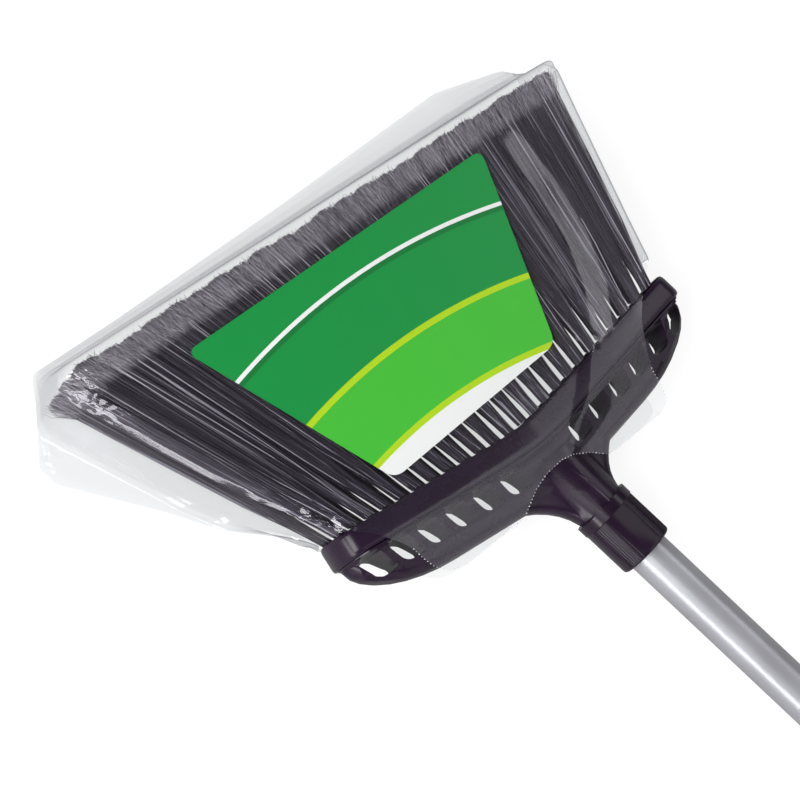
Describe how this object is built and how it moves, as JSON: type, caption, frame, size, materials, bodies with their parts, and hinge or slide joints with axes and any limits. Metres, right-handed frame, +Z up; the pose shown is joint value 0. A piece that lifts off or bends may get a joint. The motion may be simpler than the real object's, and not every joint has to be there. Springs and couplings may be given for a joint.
{
  "type": "angle broom",
  "caption": "Angle broom with a bowed black head, black flagged fibre cut at a slant in a clear sales bag, a ribbed screw collar and a long silver steel handle with a grip.",
  "frame": {"origin": "on the floor under the middle of the broom's box, with the broom lying on the floor", "axes": "+Y along the handle away from the head, tipped down by 0.6 degrees; +X towards the long end of the slanted fibre; +Z up, out of the labelled face"},
  "size_m": [0.389, 1.5188, 0.0608],
  "materials": {
    "head_plastic": "satin moulded black",
    "fibre": "fine black fibre",
    "collar_plastic": "satin moulded black",
    "steel": "smooth silver",
    "grip": "soft matt black",
    "film": "clear film",
    "card": "coated print"
  },
  "bodies": {
    "head": {"head_shell": "head_plastic", "fibre_block": "head_plastic", "bristles_1": "fibre", "bristles_2": "fibre", "bristles_3": "fibre", "bristles_4": "fibre", "label_card": "card", "poly_bag": "film"},
    "handle": {"handle_tube": "steel", "tip_plug": "head_plastic", "seat_ring": "collar_plastic", "comfort_grip": "grip", "hang_cap": "head_plastic"},
    "collar": {"locking_collar": "collar_plastic"}
  },
  "joints": [
    {"name": "handle_slide", "type": "slide", "parent": "head", "child": "handle", "axis": [0, 0.9999, -0.0105], "range_m": [0, 0.02]},
    {"name": "collar_turn", "type": "hinge", "parent": "handle", "child": "collar", "pos_m": [-0.0065, -0.47587, 0.0278], "axis": [0, 0.9999, -0.0105], "range_deg": [0, 1800]}
  ],
  "couplings": [
    {"joint": "collar_turn", "follows": "handle_slide", "rad_per_m": 1570.8}
  ]
}
